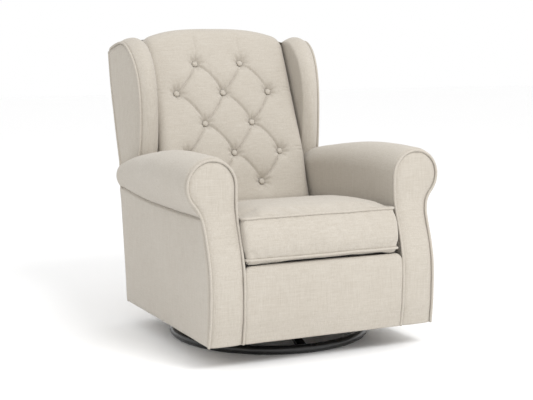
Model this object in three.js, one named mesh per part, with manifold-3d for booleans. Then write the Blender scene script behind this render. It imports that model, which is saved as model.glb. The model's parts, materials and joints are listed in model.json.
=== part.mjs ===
// Swivel glider chair with a wing back: a black ring base, a ball-bearing swivel, a
// parallelogram glide linkage, a wooden seat and back frame, and upholstered parts.
//
// Millimetres. +Z is up and the chair faces -Y. The origin is on the floor, under the
// middle of the chair's outline. "u" is the distance from the middle plane, |x|.

import * as THREE from 'three';
import { mergeVertices } from 'three/addons/utils/BufferGeometryUtils.js';
import Module from 'manifold-3d';

const wasm = await Module();
wasm.setup();

const GAP = 0.3;                                   // between pieces that touch
const CLEAR = 0.5;                                 // between upholstered pieces

// ---- overall sizes -------------------------------------------------------------------
const OUTER_U = 371;                               // outside of the arm's side panel
const INNER_U = 263;                               // inside face of the arm
const BODY_BOTTOM = 68;                            // lower edge of the upholstery
const FRONT_Y = -438;                              // front of the arm fronts and the apron
const REAR_Y = 456;                                // top of the outside back
const CREST_Z = 961;                               // top of the back, in the middle
const CREST_CORNER_DROP = 38;                      // the crest is this much lower at its ends

// Side view of the chair's front and rear edges, as [y, z] from the bottom up.
const FRONT_EDGE = [[-425, BODY_BOTTOM], [-436, 139], [FRONT_Y, 220], [-435, 272], [-422, 325],
  [-405, 371], [-389, 414], [-380, 450], [-378, 490], [-378, 640]];
const REAR_EDGE = [[267, BODY_BOTTOM], [283, 273], [297, 356], [319, 438], [346, 515], [388, 630],
  [418, 727], [437, 792], [REAR_Y, 883], [REAR_Y, 990]];

// ---- arms ----------------------------------------------------------------------------
const ROLL_U = 335.5;                              // middle of the arm roll
const FRONT_PANEL_ROLL_U = 337;
const FRONT_PANEL_ROLL_Z = 521;
const FRONT_PANEL_ROLL_R = 76;
const FRONT_PANEL_THICK = 12;
const ROLL_R_FRONT = 80;
const ROLL_R_REAR = 53;
const ROLL_TOP_FRONT = 605;
const ROLL_TOP_REAR = 535;
const ROLL_TAPER_FROM_Y = -230;                    // the roll tapers from here to the back
const ARM_SEAM_Z = 432;                            // seam under the roll, on the outside

// ---- wings ---------------------------------------------------------------------------
const WING_INNER_U = 266;
const WING_TOE_IN = [[232, 325], [REAR_Y, 359]];   // [y, u] of the outer face, front and back
const WING_OUTLINE = [[262, 490], [248, 530], [238, 574], [233, 620], [231, 680], [233, 735],
  [241, 785], [256, 828], [278, 864], [306, 892], [338, 911], [368, 916], [404, 908], [432, 895]];

// ---- back ----------------------------------------------------------------------------
const BACK_HALF_WIDTH = 262;
// Side view of the inside back at its fullest, as [y, z]: it steepens behind the cushion.
const BACK_FACE = [[142, 288], [135, 330], [139, 405], [157, 450], [193, 548], [342, 860]];
const BUTTON_TILT = 25.5;                          // degrees, the lean of the buttons' pockets
const BACK_PANEL_THICK = 14;
const BACK_FRAME_ROOM = 34;                        // space for the frame behind the padding
const BUTTON_R = 11;
const BUTTON_THICK = 7;
const POCKET_DEPTH = 21;
const BUTTON_ROWS = [[842, [-83, 83]], [745, [-169, 0, 169]], [646, [-86, 86]],
  [548, [-169, 0, 169]], [450, [-86, 86]]];        // [z, x of each button]

// ---- seat ----------------------------------------------------------------------------
const CUSHION_HALF_WIDTH = 249;
const CUSHION_EDGE = 16;                           // how far the ends round in
const CUSHION_PROFILE = [[-438, 304], [-453, 318], [-456, 350], [-441, 395], [-419, 430],
  [-390, 445], [-345, 453], [-300, 456], [-250, 455], [-190, 450], [-124, 439], [0, 420],
  [92, 406], [122, 392], [130, 350], [129, 310], [118, 289]];
const DECK_PROFILE = [[-403, 271], [212, 271], [212, 280], [125, 284], [-388, 299], [-403, 294]];
const DECK_HALF_WIDTH = 257;
const APRON_TOP = 294;
const APRON_CORNER = 24;
const APRON_THICK = 26;

// ---- wooden frame --------------------------------------------------------------------
const RAIL_THICK = 26;
const RAIL_BOTTOM = 150.3;
const RAIL_TOP = 270;
const RAIL_OUTER_U = 262;
const FRONT_RAIL_Y = -404;
const REAR_RAIL_Y = 244;
const POST_WIDTH = 36;
const POST_U = 214;
const POST_THICK = 24;

// ---- swivel base ---------------------------------------------------------------------
const SWIVEL_Y = -48;                              // the swivel axis
const RING_OUTER_R = 318;
const TUBE_R = 13.5;
const TUBE_SIDES = 16;
const RING_STEPS = 72;
const SPIDER_ARMS = 4;
const SPIDER_TURN = 5.5;                           // degrees, the base's own turn under the chair
const SPIDER_WIDTH = 26;
const SPIDER_THICK = 12;
const SPIDER_END_Z = 16;
const SPIDER_RISE = 0.27;                          // rise per millimetre towards the hub
const HUB_R = 74;
const HUB_BOTTOM = 66;
const HUB_TOP = 84;
const RACE_R = [62, 40];                           // outer and inner radius
const RACE_THICK = 7.4;
const BALL_R = [53, 49];
const BALL_THICK = 4.4;
const BOLT_R = 11.7;
const BOLT_HOLE_R = 12;
const BOLT_HEAD_R = 20;
const BOLT_HEAD_THICK = 11;
const BOLT_TOP = 131;
const NUT_R = 19;
const NUT_THICK = 13;

// ---- glide linkage -------------------------------------------------------------------
const PIVOT_HALF_SPAN = 95;                        // front and rear pivots, from the swivel axis
const UPPER_PIVOT_Z = 235;
const LINK_LENGTH = 120;
const LOWER_PIVOT_Z = UPPER_PIVOT_Z - LINK_LENGTH;
const SHEET = 4;                                   // steel plate
const TOWER_U = 198;                               // inside of the swivel tower
const LINK_U = 212;                                // inside of the link
const CARRIAGE_U = 218;                            // inside of the carriage rail
const LINK_END_R = 16;
const PIN_R = 6;
const PIN_HOLE_R = 6.3;
const PIN_HEAD_R = 10;
const PIN_HEAD_THICK = 4.5;
const PLATE_HALF_DEPTH = 118;
const PLATE_THICK = 6;
const TOWER_BOTTOM = 96;
const TOWER_TOP = 252;
const CARRIAGE_HALF_LENGTH = 222;
const CARRIAGE_BOTTOM = 92;
const CROSS_BAR = 25;
const CROSS_BAR_Y = 196;                           // from the swivel axis
const CROSS_BAR_BOTTOM = 98;

// ---- materials -----------------------------------------------------------------------
const finish = (color, roughness, metalness) => new THREE.MeshStandardMaterial({ color, roughness, metalness });
const linen = () => finish(0xd9d1c3, 0.95, 0);
const blackSteel = () => finish(0x1c1b1b, 0.38, 0.6);
const plainSteel = () => finish(0x9c9ea0, 0.35, 0.9);
const wood = () => finish(0xc9a676, 0.7, 0);
const deckCloth = () => finish(0x4a4642, 0.95, 0);

const chair = new THREE.Group();

function place(name, geometry, material) {
  const mesh = new THREE.Mesh(geometry, material);
  mesh.name = name;
  chair.add(mesh);
  return mesh;
}

// ---- solids --------------------------------------------------------------------------
function toSolid(geometry) {
  const bare = geometry.clone();
  bare.deleteAttribute('normal');
  bare.deleteAttribute('uv');
  const merged = mergeVertices(bare, 1e-4);
  return new wasm.Manifold(new wasm.Mesh({
    numProp: 3,
    vertProperties: new Float32Array(merged.attributes.position.array),
    triVerts: new Uint32Array(merged.index.array),
  }));
}

function fromSolid(solid) {
  const mesh = solid.getMesh();
  const geometry = new THREE.BufferGeometry();
  geometry.setAttribute('position', new THREE.BufferAttribute(new Float32Array(mesh.vertProperties), 3));
  geometry.setIndex(new THREE.BufferAttribute(new Uint32Array(mesh.triVerts), 1));
  geometry.computeVertexNormals();
  return geometry;
}

function outline(points, holes = []) {
  const shape = new THREE.Shape(points.map(([a, b]) => new THREE.Vector2(a, b)));
  for (const hole of holes) {
    shape.holes.push(new THREE.Path(hole.map(([a, b]) => new THREE.Vector2(a, b))));
  }
  return shape;
}

// [x, y] outline raised along Z from z0 to z1.
function prismZ(points, z0, z1, holes) {
  const geometry = new THREE.ExtrudeGeometry(outline(points, holes), { depth: z1 - z0, bevelEnabled: false });
  return geometry.translate(0, 0, z0);
}

// [y, z] outline stretched along X from x0 to x1.
function prismX(points, x0, x1, holes) {
  const geometry = new THREE.ExtrudeGeometry(outline(points, holes), { depth: x1 - x0, bevelEnabled: false });
  geometry.applyMatrix4(new THREE.Matrix4().set(0, 0, 1, x0, 1, 0, 0, 0, 0, 1, 0, 0, 0, 0, 0, 1));
  return geometry;
}

// [x, z] outline stretched along Y from y0 to y1.
function prismY(points, y0, y1, holes) {
  const geometry = new THREE.ExtrudeGeometry(outline(points, holes), { depth: y1 - y0, bevelEnabled: false });
  geometry.applyMatrix4(new THREE.Matrix4().set(1, 0, 0, 0, 0, 0, -1, y1, 0, 1, 0, 0, 0, 0, 0, 1));
  return geometry;
}

function box(x0, x1, y0, y1, z0, z1) {
  const geometry = new THREE.BoxGeometry(x1 - x0, y1 - y0, z1 - z0);
  return geometry.translate((x0 + x1) / 2, (y0 + y1) / 2, (z0 + z1) / 2);
}

// [radius, height] profile turned about the Z axis through (x, y).
function turned(profile, steps, x = 0, y = 0) {
  const points = profile.map(([r, z]) => new THREE.Vector2(r, z));
  const geometry = new THREE.LatheGeometry(points, steps);
  geometry.rotateX(Math.PI / 2);
  return geometry.translate(x, y, 0);
}

function circle(cx, cy, r, steps, from = 0, to = 2 * Math.PI, open = false) {
  const points = [];
  const count = open ? steps + 1 : steps;
  for (let i = 0; i < count; i += 1) {
    const angle = from + (to - from) * i / steps;
    points.push([cx + r * Math.cos(angle), cy + r * Math.sin(angle)]);
  }
  return points;
}

// A closed solid through rings of points; every ring has the same number of points.
function loft(rings) {
  const count = rings[0].length;
  const positions = rings.flat().flat();
  const index = [];
  for (let r = 0; r + 1 < rings.length; r += 1) {
    for (let i = 0; i < count; i += 1) {
      const a = r * count + i;
      const b = r * count + (i + 1) % count;
      index.push(a, b, b + count, a, b + count, a + count);
    }
  }
  const caps = [[0, rings[0]], [(rings.length - 1) * count, rings[rings.length - 1]]];
  caps.forEach(([start, ring], end) => {
    const flat = flatten(ring);
    for (const face of THREE.ShapeUtils.triangulateShape(flat, [])) {
      const [a, b, c] = face.map((i) => start + i);
      index.push(...(end === 0 ? [a, c, b] : [a, b, c]));
    }
  });
  const geometry = new THREE.BufferGeometry();
  geometry.setAttribute('position', new THREE.Float32BufferAttribute(positions, 3));
  geometry.setIndex(index);
  return outward(geometry);
}

// The ring's points seen along the axis in which it is thinnest.
function flatten(ring) {
  const spans = [0, 1, 2].map((k) => Math.max(...ring.map((p) => p[k])) - Math.min(...ring.map((p) => p[k])));
  const thin = spans.indexOf(Math.min(...spans));
  const kept = [0, 1, 2].filter((k) => k !== thin);
  const flat = ring.map((p) => new THREE.Vector2(p[kept[0]], p[kept[1]]));
  return THREE.ShapeUtils.isClockWise(flat) ? flat.map((v) => new THREE.Vector2(-v.x, v.y)) : flat;
}

function outward(geometry) {
  const solidVolume = (index, p) => {
    let sum = 0;
    const [a, b, c] = [new THREE.Vector3(), new THREE.Vector3(), new THREE.Vector3()];
    for (let i = 0; i < index.length; i += 3) {
      a.fromBufferAttribute(p, index[i]);
      b.fromBufferAttribute(p, index[i + 1]);
      c.fromBufferAttribute(p, index[i + 2]);
      sum += a.dot(b.cross(c));
    }
    return sum;
  };
  const index = Array.from(geometry.index.array);
  if (solidVolume(index, geometry.attributes.position) < 0) {
    for (let i = 0; i < index.length; i += 3) {
      [index[i + 1], index[i + 2]] = [index[i + 2], index[i + 1]];
    }
    geometry.setIndex(index);
  }
  return geometry;
}

// The same solid on the other side of the middle plane.
function mirrored(geometry) {
  const copy = geometry.clone();
  copy.scale(-1, 1, 1);
  const index = Array.from(copy.index.array);
  for (let i = 0; i < index.length; i += 3) {
    [index[i + 1], index[i + 2]] = [index[i + 2], index[i + 1]];
  }
  copy.setIndex(index);
  return copy;
}

function placePair(name, geometry, material) {
  place(`${name}_right`, geometry, material());
  place(`${name}_left`, mirrored(geometry), material());
}

function moved(edge, dy) {
  return edge.map(([y, z]) => [y + dy, z]);
}

// The y of an edge of [y, z] points at height z.
function edgeY(edge, z) {
  for (let i = 0; i + 1 < edge.length; i += 1) {
    const [y0, z0] = edge[i];
    const [y1, z1] = edge[i + 1];
    if (z <= z1) {
      return y0 + (y1 - y0) * (z - z0) / (z1 - z0);
    }
  }
  return edge[edge.length - 1][0];
}

// Side view of the upholstered body between a front edge and a rear edge.
function bodyProfile(frontInset, rearInset) {
  return [...moved(FRONT_EDGE, frontInset), ...moved(REAR_EDGE, -rearInset).reverse()];
}

// ---- swivel base ---------------------------------------------------------------------
function makeBase() {
  const half = Math.PI / TUBE_SIDES;
  const cornerR = TUBE_R / Math.cos(half);         // so that the tube's lowest facet is flat on the floor
  const section = circle(RING_OUTER_R - TUBE_R, TUBE_R, cornerR, TUBE_SIDES, half, half + 2 * Math.PI);
  section.push(section[0]);
  place('base_ring', turned(section, RING_STEPS, 0, SWIVEL_Y), blackSteel());

  const ringInside = RING_OUTER_R - 2 * TUBE_R - CLEAR - GAP;
  const hubSide = HUB_R + GAP;
  const riseTo = SPIDER_END_Z + SPIDER_RISE * (ringInside - hubSide);
  const side = [[hubSide, riseTo - SPIDER_THICK / 2], [ringInside, SPIDER_END_Z - SPIDER_THICK / 2],
    [ringInside, SPIDER_END_Z + SPIDER_THICK / 2], [hubSide, riseTo + SPIDER_THICK / 2]];
  for (let i = 0; i < SPIDER_ARMS; i += 1) {
    const arm = prismX(side, -SPIDER_WIDTH / 2, SPIDER_WIDTH / 2);
    arm.rotateZ(Math.PI + THREE.MathUtils.degToRad(-SPIDER_TURN + 360 * i / SPIDER_ARMS));
    place(`base_arm_${i + 1}`, arm.translate(0, SWIVEL_Y, 0), blackSteel());
  }

  const hub = [[BOLT_HOLE_R, HUB_BOTTOM], [HUB_R, HUB_BOTTOM], [HUB_R, HUB_TOP], [BOLT_HOLE_R, HUB_TOP],
    [BOLT_HOLE_R, HUB_BOTTOM]];
  place('base_hub', turned(hub, 40, 0, SWIVEL_Y), blackSteel());
}

function washerProfile([outer, inner], z0, z1) {
  return [[inner, z0], [outer, z0], [outer, z1], [inner, z1], [inner, z0]];
}

function makeSwivelBearing() {
  const lower = HUB_TOP + GAP;
  const balls = lower + RACE_THICK + GAP;
  const upper = balls + BALL_THICK + GAP;
  const plate = upper + RACE_THICK + GAP;
  place('lower_bearing_race', turned(washerProfile(RACE_R, lower, lower + RACE_THICK), 40, 0, SWIVEL_Y), plainSteel());
  place('bearing_ball_ring', turned(washerProfile(BALL_R, balls, balls + BALL_THICK), 40, 0, SWIVEL_Y), plainSteel());
  place('upper_bearing_race', turned(washerProfile(RACE_R, upper, upper + RACE_THICK), 40, 0, SWIVEL_Y), plainSteel());

  const headTop = HUB_BOTTOM - GAP;
  const bolt = [[0, headTop - BOLT_HEAD_THICK], [BOLT_HEAD_R, headTop - BOLT_HEAD_THICK], [BOLT_HEAD_R, headTop],
    [BOLT_R, headTop], [BOLT_R, BOLT_TOP], [0, BOLT_TOP]];
  place('king_bolt', turned(bolt, 32, 0, SWIVEL_Y), plainSteel());

  const nutBottom = plate + PLATE_THICK + GAP;
  const nut = prismZ(circle(0, 0, NUT_R, 6), nutBottom, nutBottom + NUT_THICK, [circle(0, 0, BOLT_HOLE_R, 32)]);
  place('king_nut', nut.translate(0, SWIVEL_Y, 0), plainSteel());
  return plate;
}

function makeSwivelFrame(plateZ) {
  const side = TOWER_U - GAP;
  const corners = [[-side, -PLATE_HALF_DEPTH], [side, -PLATE_HALF_DEPTH], [side, PLATE_HALF_DEPTH],
    [-side, PLATE_HALF_DEPTH]];
  const plate = prismZ(corners, plateZ, plateZ + PLATE_THICK, [circle(0, 0, BOLT_HOLE_R + GAP, 32)]);
  place('swivel_plate', plate.translate(0, SWIVEL_Y, 0), blackSteel());

  const reach = PIVOT_HALF_SPAN + 20;
  const chamfer = 12;
  const tower = [[-reach, TOWER_BOTTOM], [reach, TOWER_BOTTOM], [reach, TOWER_TOP - chamfer],
    [reach - chamfer, TOWER_TOP], [chamfer - reach, TOWER_TOP], [-reach, TOWER_TOP - chamfer]];
  const holes = [-1, 1].map((end) => circle(end * PIVOT_HALF_SPAN, UPPER_PIVOT_Z, PIN_HOLE_R, 20));
  const plateWithHoles = prismX(tower, TOWER_U, TOWER_U + SHEET, holes).translate(0, SWIVEL_Y, 0);
  placePair('swivel_tower', fromSolid(toSolid(plateWithHoles)), blackSteel);
}

// ---- glide linkage -------------------------------------------------------------------
function linkShape(y) {
  const top = circle(y, UPPER_PIVOT_Z, LINK_END_R, 10, 0, Math.PI, true);
  const bottom = circle(y, LOWER_PIVOT_Z, LINK_END_R, 10, Math.PI, 2 * Math.PI, true);
  const holes = [UPPER_PIVOT_Z, LOWER_PIVOT_Z].map((z) => circle(y, z, PIN_HOLE_R, 20));
  return fromSolid(toSolid(prismX([...top, ...bottom], LINK_U, LINK_U + SHEET, holes)));
}

// A rivet along X: a head, a shank from u0 to u1, and a second head.
function rivet(y, z, u0, u1) {
  const profile = [[0, u0 - PIN_HEAD_THICK], [PIN_HEAD_R, u0 - PIN_HEAD_THICK], [PIN_HEAD_R, u0], [PIN_R, u0],
    [PIN_R, u1], [PIN_HEAD_R, u1], [PIN_HEAD_R, u1 + PIN_HEAD_THICK], [0, u1 + PIN_HEAD_THICK]];
  const geometry = turned(profile, 20);
  geometry.rotateY(Math.PI / 2);
  return fromSolid(toSolid(geometry.translate(0, y, z)));
}

function makeGlide() {
  const pivots = [['front', SWIVEL_Y - PIVOT_HALF_SPAN], ['rear', SWIVEL_Y + PIVOT_HALF_SPAN]];
  for (const [end, y] of pivots) {
    placePair(`${end}_link`, linkShape(y), blackSteel);
    placePair(`${end}_upper_pin`, rivet(y, UPPER_PIVOT_Z, TOWER_U - GAP, LINK_U + SHEET + GAP), plainSteel);
    placePair(`${end}_lower_pin`, rivet(y, LOWER_PIVOT_Z, LINK_U - GAP, CARRIAGE_U + SHEET + GAP), plainSteel);
  }

  const rail0 = SWIVEL_Y - CARRIAGE_HALF_LENGTH;
  const rail1 = SWIVEL_Y + CARRIAGE_HALF_LENGTH;
  const web = CARRIAGE_U + SHEET;
  const flangeZ = RAIL_BOTTOM - GAP;
  const angle = [[CARRIAGE_U, CARRIAGE_BOTTOM], [web, CARRIAGE_BOTTOM], [web, flangeZ - SHEET],
    [RAIL_OUTER_U - 4, flangeZ - SHEET], [RAIL_OUTER_U - 4, flangeZ], [CARRIAGE_U, flangeZ]];
  let rail = toSolid(prismY(angle, rail0, rail1));
  for (const [, y] of pivots) {
    const hole = prismX(circle(y, LOWER_PIVOT_Z, PIN_HOLE_R, 20), CARRIAGE_U - 1, web + 1);
    rail = rail.subtract(toSolid(hole));
  }
  placePair('carriage_rail', fromSolid(rail), blackSteel);

  for (const [end, side] of [['front', -1], ['rear', 1]]) {
    const y = SWIVEL_Y + side * CROSS_BAR_Y;
    const bar = box(GAP - CARRIAGE_U, CARRIAGE_U - GAP, y - CROSS_BAR / 2, y + CROSS_BAR / 2,
      CROSS_BAR_BOTTOM, CROSS_BAR_BOTTOM + CROSS_BAR);
    place(`carriage_${end}_bar`, bar, blackSteel());
  }
}

// ---- wooden frame --------------------------------------------------------------------
function makeFrame() {
  const front0 = FRONT_RAIL_Y;
  const front1 = front0 + RAIL_THICK;
  const rear1 = REAR_RAIL_Y;
  const rear0 = rear1 - RAIL_THICK;
  const width = RAIL_OUTER_U;
  place('front_rail', box(-width, width, front0, front1, RAIL_BOTTOM, RAIL_TOP), wood());
  place('rear_rail', box(-width, width, rear0, rear1, RAIL_BOTTOM, RAIL_TOP), wood());
  const side = box(width - RAIL_THICK, width, front1 + GAP, rear0 - GAP, RAIL_BOTTOM, RAIL_TOP);
  placePair('side_rail', side, wood);

  const behind = moved(REAR_EDGE, -BACK_PANEL_THICK - CLEAR - 2);
  const postTop = 850;
  const postBottom = RAIL_TOP + GAP;
  const knots = [postBottom, 356, 438, 515, 630, 727, 792, postTop];
  const post = [...knots.map((z) => [edgeY(behind, z) - POST_THICK, z]),
    ...knots.map((z) => [edgeY(behind, z), z]).reverse()];
  placePair('back_post', fromSolid(toSolid(prismX(post, POST_U, POST_U + POST_WIDTH))), wood);

  const railDrop = 70;
  const lip = GAP;
  const inside = POST_U - lip;
  const railSide = [[edgeY(behind, postTop - railDrop) - POST_THICK, postTop - railDrop],
    [edgeY(behind, postTop) - POST_THICK, postTop], [edgeY(behind, postTop), postTop],
    [edgeY(behind, postTop - railDrop), postTop - railDrop]];
  place('back_top_rail', prismX(railSide, -inside, inside), wood());
}

// ---- upholstery ----------------------------------------------------------------------
function rollAt(y) {
  const t = THREE.MathUtils.clamp((y - ROLL_TAPER_FROM_Y) / (330 - ROLL_TAPER_FROM_Y), 0, 1);
  const r = THREE.MathUtils.lerp(ROLL_R_FRONT, ROLL_R_REAR, t);
  const top = THREE.MathUtils.lerp(ROLL_TOP_FRONT, ROLL_TOP_REAR, t ** 1.6);
  return { r, z: top - r };
}

// One cross-section of the arm at y, grown outwards by "grow".
function armSection(y, grow) {
  const { r, z } = rollAt(y);
  const radius = r + grow;
  const seamAngle = -Math.acos((OUTER_U + grow - ROLL_U) / radius);
  const arc = circle(ROLL_U, z, radius, 18, Math.PI, seamAngle, true);
  const inside = INNER_U - grow;
  return [[inside, BODY_BOTTOM - grow], [inside, z - r], ...arc, [OUTER_U + grow, ARM_SEAM_Z - 20],
    [OUTER_U + grow, BODY_BOTTOM - grow]].map(([u, height]) => [u, y, height]);
}

function armBlock(grow) {
  const stations = [-470, ROLL_TAPER_FROM_Y, -90, 50, 190, 330, 480];
  return toSolid(loft(stations.map((y) => armSection(y, grow))));
}

function makeArms() {
  const profile = bodyProfile(FRONT_PANEL_THICK + GAP, BACK_PANEL_THICK + CLEAR);
  const side = toSolid(prismX(profile, 200, 450));
  placePair('arm', fromSolid(armBlock(0).intersect(side)), linen);

  const r = FRONT_PANEL_ROLL_R;
  const keyhole = [[INNER_U, BODY_BOTTOM], [INNER_U, 430], ...circle(FRONT_PANEL_ROLL_U, FRONT_PANEL_ROLL_Z, r, 20, Math.PI, -0.86, true),
    [373, 441], [366.5, 415], [365, 395], [365, 300], [367, 140], [OUTER_U, BODY_BOTTOM]];
  const slab = [...FRONT_EDGE, ...moved(FRONT_EDGE, FRONT_PANEL_THICK).reverse()];
  const panel = toSolid(prismY(keyhole, FRONT_Y - 20, FRONT_Y + 120)).intersect(toSolid(prismX(slab, 200, 450)));
  placePair('arm_front', fromSolid(panel), linen);
}

// u of the wing's outer face at y.
function wingOuterU(y) {
  const [[y0, u0], [y1, u1]] = WING_TOE_IN;
  return u0 + (u1 - u0) * (y - y0) / (y1 - y0);
}

function makeWings() {
  const rear = moved(REAR_EDGE, -BACK_PANEL_THICK - CLEAR);
  const backEdge = [[edgeY(rear, 884), 884], [edgeY(rear, 792), 792], [edgeY(rear, 727), 727],
    [edgeY(rear, 630), 630], [edgeY(rear, 515), 515], [edgeY(rear, 470), 470]];
  const front = WING_OUTLINE.length;
  const whole = [...WING_OUTLINE, ...backEdge];
  const layers = [[0, 0], [0.14, 9], [0.42, 17], [0.72, 17], [0.92, 9], [1, 1]];   // [depth, swell]
  const rings = layers.map(([depth, swell]) => whole.map(([y, z], i) => {
    const before = whole[Math.max(i - 1, 0)];
    const after = whole[Math.min(i + 1, whole.length - 1)];
    const along = new THREE.Vector2(after[0] - before[0], after[1] - before[1]).normalize();
    const grow = i < front - 1 ? swell : 0;
    const py = y - along.y * grow;
    const pz = z + along.x * grow;
    const u = THREE.MathUtils.lerp(wingOuterU(py), WING_INNER_U, depth);
    return [u, py, pz];
  }));
  const wing = toSolid(loft(rings)).subtract(armBlock(CLEAR));
  const pieces = wing.decompose().sort((a, b) => b.volume() - a.volume());
  placePair('wing', fromSolid(pieces[0]), linen);
}

function crestZ(x) {
  return CREST_Z - CREST_CORNER_DROP * (Math.abs(x) / BACK_HALF_WIDTH) ** 3;
}

function makeBack() {
  const behind = moved(REAR_EDGE, -BACK_PANEL_THICK - BACK_FRAME_ROOM);
  const knots = [288, 356, 438, 515, 630, 727, 792, 860];
  const side = [...BACK_FACE, [360, 905], [374, 938], [398, 956], [424, CREST_Z], [438, CREST_Z - 6], [440, 900], [edgeY(behind, 870), 870],
    ...knots.reverse().map((z) => [edgeY(behind, z), z])];
  const crest = [[-BACK_HALF_WIDTH, 280], [BACK_HALF_WIDTH, 280]];
  for (let i = 0; i <= 12; i += 1) {
    const x = BACK_HALF_WIDTH * (1 - i / 6);
    crest.push([x, crestZ(x)]);
  }
  let back = toSolid(prismX(side, -BACK_HALF_WIDTH, BACK_HALF_WIDTH));
  back = back.intersect(toSolid(prismY(crest, 60, 500)));

  // Each button sits at the bottom of a pocket, square to the inside back.
  const tilt = THREE.MathUtils.degToRad(BUTTON_TILT);
  const outwardAxis = new THREE.Vector3(0, -Math.cos(tilt), Math.sin(tilt));
  const turn = new THREE.Quaternion().setFromUnitVectors(new THREE.Vector3(0, 0, 1), outwardAxis);
  let number = 0;
  for (const [z, xs] of BUTTON_ROWS) {
    for (const x of xs) {
      number += 1;
      const mouthZ = z + POCKET_DEPTH * Math.sin(tilt);
      const mouth = new THREE.Vector3(x, edgeY(BACK_FACE, mouthZ), mouthZ);
      const floor = mouth.clone().addScaledVector(outwardAxis, -POCKET_DEPTH);
      const pocket = turned([[0, 0], [BUTTON_R + 3, 0], [BUTTON_R + 17, POCKET_DEPTH + 4], [0, POCKET_DEPTH + 4]], 12);
      pocket.applyQuaternion(turn).translate(floor.x, floor.y, floor.z);
      back = back.subtract(toSolid(pocket));
      const dome = [[0, GAP], [BUTTON_R, GAP], [BUTTON_R, 3], [BUTTON_R * 0.8, 5.5], [0, BUTTON_THICK]];
      const button = turned(dome, 16).applyQuaternion(turn).translate(floor.x, floor.y, floor.z);
      place(`button_${number}`, button, linen());
    }
  }
  place('tufted_back', fromSolid(back), linen());

  const panelSide = [...REAR_EDGE.slice(0, -1), [REAR_Y, 940], [REAR_Y - BACK_PANEL_THICK, 940],
    ...moved(REAR_EDGE.slice(0, -1), -BACK_PANEL_THICK).reverse()];
  const panelFace = [[-OUTER_U, BODY_BOTTOM], [OUTER_U, BODY_BOTTOM], [OUTER_U, 438], [361, 520], [359, 880],
    [330, 902], [262, 918], [140, 932], [0, 938], [-140, 932], [-262, 918], [-330, 902], [-359, 880],
    [-361, 520], [-OUTER_U, 438]];
  const panel = toSolid(prismX(panelSide, -400, 400)).intersect(toSolid(prismY(panelFace, 200, 500)));
  place('outside_back', fromSolid(panel), linen());
}

function makeSeat() {
  const centre = new THREE.Vector2(-160, 375);
  const stations = [[-1, CUSHION_EDGE], [-1 + CUSHION_EDGE / CUSHION_HALF_WIDTH, 3], [-0.7, 0], [0, 0], [0.7, 0],
    [1 - CUSHION_EDGE / CUSHION_HALF_WIDTH, 3], [1, CUSHION_EDGE]];
  const rings = stations.map(([at, inset]) => CUSHION_PROFILE.map(([y, z]) => {
    const pull = new THREE.Vector2(y, z).sub(centre);
    const length = pull.length();
    const keep = (length - inset) / length;
    return [at * CUSHION_HALF_WIDTH, centre.x + pull.x * keep, centre.y + pull.y * keep];
  }));
  place('seat_cushion', loft(rings), linen());

  place('seat_deck', prismX(DECK_PROFILE, -DECK_HALF_WIDTH, DECK_HALF_WIDTH), deckCloth());

  const half = INNER_U - CLEAR;
  const top = APRON_TOP;
  const corner = APRON_CORNER;
  const face = [[-half, BODY_BOTTOM], [half, BODY_BOTTOM], [half, top - corner],
    ...circle(half - corner, top - corner, corner, 6, 0, Math.PI / 2, true).slice(1),
    ...circle(corner - half, top - corner, corner, 6, Math.PI / 2, Math.PI, true)];
  const edge = FRONT_EDGE.slice(0, 5);
  const slab = [...edge, ...moved(edge, APRON_THICK).reverse()];
  const apron = toSolid(prismY(face, FRONT_Y - 20, FRONT_Y + 80)).intersect(toSolid(prismX(slab, -300, 300)));
  place('apron', fromSolid(apron), linen());
}

makeBase();
makeSwivelFrame(makeSwivelBearing());
makeGlide();
makeFrame();
makeArms();
makeWings();
makeBack();
makeSeat();

export default chair;
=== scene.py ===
import json
import math

import bmesh
import bpy
import numpy as np
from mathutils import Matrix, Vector, noise


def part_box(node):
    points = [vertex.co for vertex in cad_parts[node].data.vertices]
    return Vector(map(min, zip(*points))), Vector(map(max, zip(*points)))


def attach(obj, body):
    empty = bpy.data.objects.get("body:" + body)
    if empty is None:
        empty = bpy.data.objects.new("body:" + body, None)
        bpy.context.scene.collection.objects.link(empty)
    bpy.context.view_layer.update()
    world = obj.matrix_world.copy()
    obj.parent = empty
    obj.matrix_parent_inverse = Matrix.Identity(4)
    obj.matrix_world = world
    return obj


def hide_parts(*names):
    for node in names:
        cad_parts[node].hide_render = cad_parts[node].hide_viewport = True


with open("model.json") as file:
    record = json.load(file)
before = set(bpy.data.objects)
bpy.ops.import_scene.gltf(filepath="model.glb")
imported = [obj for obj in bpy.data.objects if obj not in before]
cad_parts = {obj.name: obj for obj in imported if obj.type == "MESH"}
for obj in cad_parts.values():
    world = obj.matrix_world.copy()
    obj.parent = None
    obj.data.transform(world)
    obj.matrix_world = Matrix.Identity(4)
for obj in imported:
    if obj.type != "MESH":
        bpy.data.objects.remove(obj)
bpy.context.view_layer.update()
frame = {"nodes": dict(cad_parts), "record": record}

# Lengths below are millimetres in the frame of the CAD model, and MM turns them into metres.
# "u" is the distance from the chair's middle plane, and side is 1 for +X and -1 for -X.
MM = 0.001
SIDES = (("right", 1), ("left", -1))


def box_mm(node):
    low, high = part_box(node)
    return np.array(low) / MM, np.array(high) / MM


# ---- camera, light and floor ---------------------------------------------------------
LOOK_AT = Vector((0.0, -0.032, 0.4203))
CAMERA_AZIMUTH = math.radians(-25.8)
CAMERA_ELEVATION = math.radians(7.9)
CAMERA_DISTANCE = 3.885
SENSOR = 36.0
FOCAL = 82.32
WORLD_STRENGTH = 1.0
KEY_WATTS = 92


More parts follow.
